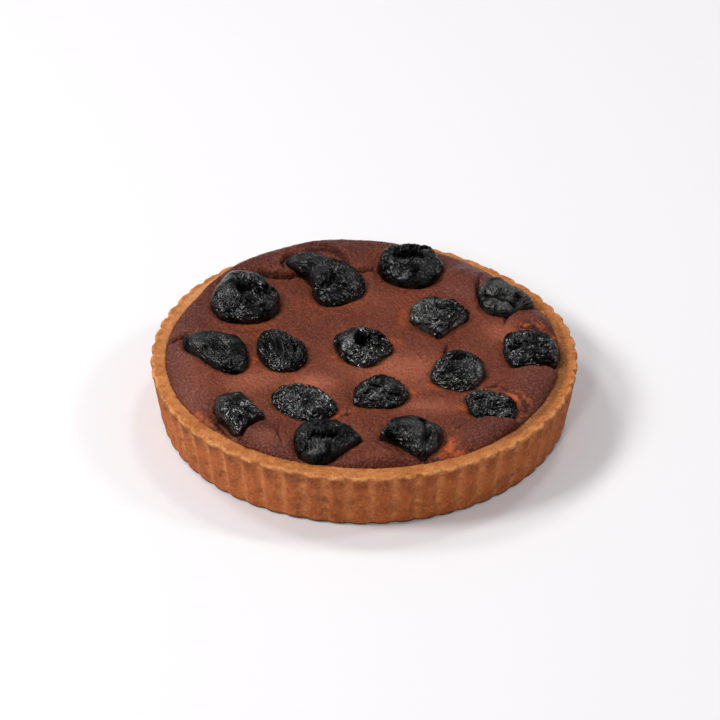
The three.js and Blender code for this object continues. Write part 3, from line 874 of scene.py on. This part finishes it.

# puffs, paleAndLit (paler, partly painted light), glow and sheen (painted sheen): x, y, wide, deep, turn,
# rise or share
# lips: x, y of three places, rise on the line's left, reach, steep side, groove at its foot
# cracks: x, y of three places, width, depth; torn: x, y of three places, width, share
# risen and spill: azimuth, spread, and rise of the edge or how far it runs over the crust
# ripple, grain and tear: size and depth of the unevenness
fillingLook = {
    "side": 304, "edgeLevel": 32, "crown": 2, "pocket": 6, "dip": 0.9, "dipReach": 2.4, "edgeRound": 4.2,
    "backRound": 6, "taper": (0.01, 0.5), "ripple": (24, 0.6), "grain": (2.8, 0.3), "tear": (2.4, 1.6),
    "risen": [(101, 15, 5), (128, 10, 1.6), (60, 10, 1.5)],
    "spill": [(104, 17, 4.6), (76, 12, 3), (128, 12, 3.4), (56, 10, 1.6)],
    "puffs": [
        (-6, 93, 22, 7, -4, 2), (-46, 80, 10, 7, 25, 2.2), (52, 72, 11, 9, -40, 3.6),
        (90, 31, 9, 8, 60, 2.8), (86, -26, 12, 13, 0, 2.8), (62, -72, 20, 8, 30, 2.6),
        (-47, -78, 12, 8, -28, 3.2), (4, -93, 15, 7, 0, 2.6), (-88, -22, 9, 26, 8, 2),
        (-88, 28, 8, 12, 0, 1.8), (4, 34, 22, 16, 0, 0.8), (54, 10, 9, 9, 0, 1.2),
        (-60, -22, 12, 9, 20, 0.8), (28, -58, 9, 8, 0, 0.7), (-2, -60, 9, 6, 20, 0.7),
    ],
    "lips": [
        (-49, -61, -57, -70, -62, -79, 3.4, 10, 1.4, 1.6), (-40, -84, -42, -77, -42, -70, 1, 6, 1.2, 0.8),
        (14, -86, 5, -80.5, -3, -82, 2.4, 8, 1.3, 1.4), (30, -97, 16, -92, 7, -84, 2.8, 9, 1.3, 0.8),
        (101, -15, 88, -15, 73, -16, 3, 11, 1.2, 1.4), (81, -62, 62, -59, 44, -70, 2.8, 10, 1.3, 1.4),
        (-58, 77, -47, 70, -32, 73, 2.6, 8, 1, 3), (-42, 74, -43, 85, -34, 92, 0.5, 6, 1, 2.4),
        (-37, 91, -17, 92.5, -5, 75, 1.4, 8, 1.2, 2.6), (-5, 77, 0, 77, 7, 79, 1.6, 8, 1.2, 2),
        (28, 51, 47, 53, 56, 34, 2, 7, 1.8, 0.5), (59, 50, 57.5, 60, 60, 73, 1.6, 7, 1.2, 1.4),
        (98, 40, 79, 38, 72, 25, 2.4, 8, 1.2, 1.4), (43, 9, 42, 2, 41, -5, 1.2, 7, 1, 1.8),
        (-100, 10, -94, 13, -86, 16, 1.6, 7, 1.2, 2.2),
    ],
    "cracks": [
        (-37, 94, -22, 96, -10, 87, 1, 1.4), (-57, 76, -47, 69.5, -33, 72, 1.2, 2.4),
        (76, 24, 90, 21, 99, 12, 1.2, 1.8), (58, -31, 67, -30, 75, -36, 1.2, 1.3),
        (76, -37, 82, -44, 80, -53, 1.4, 1.1), (-76.5, -53, -71.5, -64, -65, -74, 1.7, 1.3),
        (-58, 76, -50, 81, -44, 79, 0.9, 1.2), (22, -98, 34, -94, 44, -89, 0.9, 1.2),
        (-10, -48, -8, -54, -13, -59, 0.8, 1),
    ],
    "torn": [
        (-18, 88, -11, 83, -5, 77, 2.4, 0.6), (-56, 77, -47, 73, -38, 75, 1.8, 0.6),
        (77, 26, 90, 24, 99, 13, 3.6, 1), (55, -33, 67, -31, 76, -37, 2.2, 0.8),
        (75, -36, 82, -44, 79, -58, 2.6, 1), (-78.5, -52, -74.5, -64, -66, -75, 3.4, 0.7),
        (20, -97, 34, -93, 46, -88, 2.2, 0.7), (-99, 8, -95, 12, -90, 14, 2.2, 0.8),
        (-10, -47, -8, -54, -13, -59, 2.2, 0.9), (-58, 77, -50, 80, -44, 78, 1.8, 0.6),
        (100, 10, 100, 0, 98, -10, 1.6, 0.5), (44, -58, 43, -66, 40, -74, 2, 0.5),
    ],
    "paleAndLit": [
        (-26, -27, 12, 8, 0, 1), (18, -14, 26, 14, -10, 0.9), (-56, -26, 16, 9, 10, 0.7),
        (10, 48, 20, 8, 0, 0.2), (70, 20, 10, 12, 0, 0.7), (-84, -24, 10, 24, 0, 0.35),
        (32, -48, 14, 7, 0, 0.8), (-46, -78, 9, 6, 0, 0.3), (94, -12, 7, 18, 0, 0.22),
    ],
    "glow": [
        (14, 8, 5, 4, 0, 0.7), (-14, -5, 4, 5, 0, 0.5), (-55, -6, 3, 7, 0, 0.7), (-44, -18, 8, 3, 0, 0.6),
        (36, -29, 4, 3, 0, 0.7), (24, -36, 4, 5, 0, 0.8), (76, -41, 4, 5, 30, 1.6),
        (49, -49, 3, 3, 0, 0.9), (-12, -54, 6, 4, 0, 0.8), (21, 32, 4, 9, 0, 0.5),
        (-14, 46, 14, 4, 0, 0.5), (42, -84, 3.6, 10, -20, 1.3), (47, -88, 12, 2.6, 30, 1),
        (-76, -62, 4, 12, 35, 1.2), (92, 18, 8, 4, -30, 0.7), (-60, 26, 12, 3, 0, 0.4),
        (6, -92, 20, 6, 0, 0.15),
    ],
    "sheen": [
        (-92, 2, 9, 22, 0, 1), (-86, -38, 8, 20, 25, 0.75), (-44, -82, 14, 6, -25, 0.45),
        (4, -90, 22, 7, 0, 0.1), (66, 62, 12, 8, -40, 0.75), (48, 56, 14, 6, -30, 0.65),
        (50, 84, 16, 6, -30, 0.4), (90, 34, 7, 8, 0, 0.6), (-80, 40, 12, 14, 0, 0.6),
        (-40, 86, 12, 6, 30, 0.35), (84, -28, 10, 12, 0, 0.4), (60, -74, 18, 8, 30, 0.35),
        (-48, -22, 10, 6, 0, 0.5),
    ],
}


def discGrid(side):
    # an even net over a disc of radius 1, from a square one
    step = np.linspace(-1, 1, side)
    a, b = (part.ravel() for part in np.meshgrid(step, step))
    wide = np.abs(a) >= np.abs(b)
    safeA, safeB = np.where(a == 0, 1e-9, a), np.where(b == 0, 1e-9, b)
    radius = np.where(wide, a, b)
    turn = np.where(wide, math.pi / 4 * b / safeA, math.pi / 2 - math.pi / 4 * a / safeB)
    return radius * np.cos(turn), radius * np.sin(turn)


def pruneDistance(x, y):
    # millimetres outside (+) or inside (-) of the nearest prune's outline
    outlinePlaces, farEnough = 192, 45
    nearest = np.full(len(x), 1e3)
    for name, look in pruneLooks.items():
        edgeX, edgeY, middle = pruneOutline(name, look, outlinePlaces)[:3]
        dx, dy = x - middle[0], y - middle[1]
        close = np.hypot(dx, dy) < farEnough
        turn = np.arctan2(dy[close], dx[close])
        edgeTurn = np.arctan2(edgeY, edgeX)
        order = np.argsort(edgeTurn)
        edge = np.interp(turn, edgeTurn[order], np.hypot(edgeX, edgeY)[order], period=2 * math.pi)
        away = np.hypot(dx[close], dy[close]) - edge
        nearest[close] = np.minimum(nearest[close], away)
    return nearest


def fillingShape(x, y, net):
    look = fillingLook
    turn = np.arctan2(y, x)
    spill = swellSum(turn, look["spill"])
    flat = np.stack([x, y, 0 * x], axis=1)
    reach = innerEdge(turn) + 0.4 + spill + net.at(flat, 9) * np.minimum(spill, 1) * 0.8
    x, y = x * reach, y * reach
    flat = np.stack([x, y, 0 * x], axis=1)
    share = np.hypot(x, y) / reach
    rise = rimSwell(turn) + swellSum(turn, look["risen"])
    level = look["edgeLevel"] + rise * share ** 8 + look["crown"] * (1 - share ** 6)
    for *place, height in look["puffs"]:
        level += height * spot(x, y, place)

    gap = pruneDistance(x, y)
    level -= look["dip"] * np.exp(-(np.maximum(gap, 0) / look["dipReach"]) ** 2)
    level -= look["pocket"] * smooth(0.4, 2.6, -gap)
    wander = net.rough(flat + 70, 4.5, 3)
    deep = np.zeros(len(x))
    for *path, height, fall, steep, groove in look["lips"]:
        far, way, side = along(x + 0.7 * wander, y - 0.7 * wander, bent(path))
        taper = tapered(way, *look["taper"])
        across = far * side
        level += height * taper * np.exp(-(far / fall) ** 2) * smooth(-0.3 * steep, steep, across)
        foot = taper * np.exp(-((across + 0.7) / 0.9) ** 2)
        level -= groove * foot
        deep = np.maximum(deep, foot * min(1, groove / 2))
    for *path, width, depth in look["cracks"]:
        far, way = along(x + wander, y - wander, bent(path))[:2]
        foot = tapered(way, *look["taper"]) * np.exp(-(far / width) ** 2)
        level -= depth * foot
        deep = np.maximum(deep, foot * min(1, depth / 2))
    torn = np.zeros(len(x))
    for *path, width, amount in look["torn"]:
        far, way = along(x + 1.8 * wander, y - 1.8 * wander, bent(path))[:2]
        taper = tapered(way, *look["taper"])
        torn = np.maximum(torn, amount * taper * np.exp(-(far / width) ** 2))
    patches = {}
    for kind in ("paleAndLit", "glow", "sheen"):
        patches[kind] = np.zeros(len(x))
        for *place, amount in look[kind]:
            patches[kind] = np.maximum(patches[kind], amount * spot(x, y, place))
    level += net.relief(flat, look["ripple"]) + net.relief(flat + 9, look["grain"])
    size, depth = look["tear"]
    level += torn * net.rough(flat + 40, size, 3) * depth

    # the edge is rounded down to the crust, or over it where the filling has spilled
    over = smooth(0.6, 2.0, spill)
    low = (crustLook["rimHeight"] + rimSwell(turn) - 0.4) * over + (look["edgeLevel"] - 2.2) * (1 - over)
    width = look["edgeRound"] * (1 - over) + look["backRound"] * over
    curl = np.sqrt(1 - (1 - np.clip((reach - share * reach) / width, 0, 1)) ** 2)
    level = low + (level - low) * curl
    return x, y, level, gap, share, {"torn": torn, "deep": deep, **patches}


def makeFilling():
    look = fillingLook
    side = look["side"]
    net = Grain(21)
    x, y = discGrid(side)
    x, y, level, gap, share, marks = fillingShape(x, y, net)
    points = np.stack([x, y, level], axis=1)
    square = np.arange(side * side).reshape(side, side)
    faces = np.stack([square[:-1, :-1], square[:-1, 1:], square[1:, 1:], square[1:, :-1]],
                     axis=-1).reshape(-1, 4).tolist()
    rim = np.concatenate([square[0, :-1], square[:-1, -1], square[-1, :0:-1], square[:0:-1, 0]])
    count = len(points)
    skirt = points[rim] * [0.9, 0.9, 0]
    skirt[:, 2] = fillingFloor
    points = np.vstack([points, skirt, [[0, 0, fillingFloor]]])
    around = len(rim)
    here, there = np.arange(around), (np.arange(around) + 1) % around
    wall = np.stack([rim[here], count + here, count + there, rim[there]], axis=-1)
    base = np.stack([count + here, np.full(around, count + around), count + there], axis=-1)
    faces += wall.tolist() + base.tolist()
    flat = np.stack([x, y, 0 * x], axis=1)
    reach = 2.6 + 1.8 * net.rough(flat + 33, 11, 2)
    marks["near"] = np.exp(-(np.maximum(gap, 0) / np.maximum(reach, 1)) ** 2)
    # a thin band round each prune, where the finish paints a contact shadow
    marks["contactShade"] = np.exp(-(np.maximum(gap, 0) / 0.9) ** 2)
    marks["edge"] = smooth(0.62, 1, share)
    makePiece("custard", points, faces, "filling", "filling", fillingFinish(), **marks)


def fillingFinish():
    board = Board("baked_filling")
    near, edge, torn, deep = map(board.mark, ("near", "edge", "torn", "deep"))
    paleAndLit, glow, contactShade, sheen = map(board.mark, ("paleAndLit", "glow", "contactShade", "sheen"))
    cloud, patch = board.noise(17, 3), board.noise(4.5, 3, 3)
    pits, crumb = board.noise(1.5, 3, 4, rough=0.65), board.noise(1.0, 2, 8)
    specks = board.noise(3.4, 4, 12, rough=0.6)
    baked = board.layers(
        tint(89, 35, 18),
        (cloud.between(0.3, 0.7), 105, 46, 27),
        (edge, 70, 20, 9),
        # paleAndLit: paler patches of filling; on the centre dome and the right edge they are painted
        # light
        ((paleAndLit * (0.8 + 0.5 * patch)).clamped(), 160, 88, 62),
        (0.5 * near * patch.between(0.25, 0.6), 146, 82, 46),
        (glow * patch.between(0.3, 0.62), 184, 84, 34),
    )
    raw = board.layers(
        tint(52, 15, 8),
        (specks.between(0.36, 0.62), 134, 58, 28),
        (specks.between(0.58, 0.7), 174, 96, 48),
    )
    # light: specks of painted highlight, most at the edges and in the sheen patches
    light = (0.16 + 0.05 * edge + 0.16 * sheen) * crumb.between(0.46, 0.66)
    colour = board.layers(
        board.blend((torn * (0.5 + patch)).between(0.2, 0.7), baked, raw),
        # painted shade in the pits that the bump sinks
        (0.45 * (1 - pits.between(0.32, 0.5)), 60, 22, 14),
        (0.3 * (1 - specks.between(0.36, 0.5)), 70, 24, 14),
        # painted sheen: pinkish where the edges and puffs face the key light
        (0.35 * sheen, 118, 68, 66),
        (light, 176, 120, 102),
        # painted contact shadow round the prunes
        (0.65 * contactShade * patch.between(0.2, 0.5), 40, 13, 8),
        # painted shade in the grooves and cracks, with the batter burnt darker there
        (deep.between(0.1, 0.75), 40, 10, 6),
    )
    skin = board.bump(pits, 1.0)
    rough = 0.26 + 0.14 * cloud
    return board.finish(Base_Color=colour, Roughness=rough, Normal=skin, Specular_IOR_Level=0.24,
                        Specular_Tint=(1, 0.7, 0.6, 1))


makeFilling()
print("filling made")
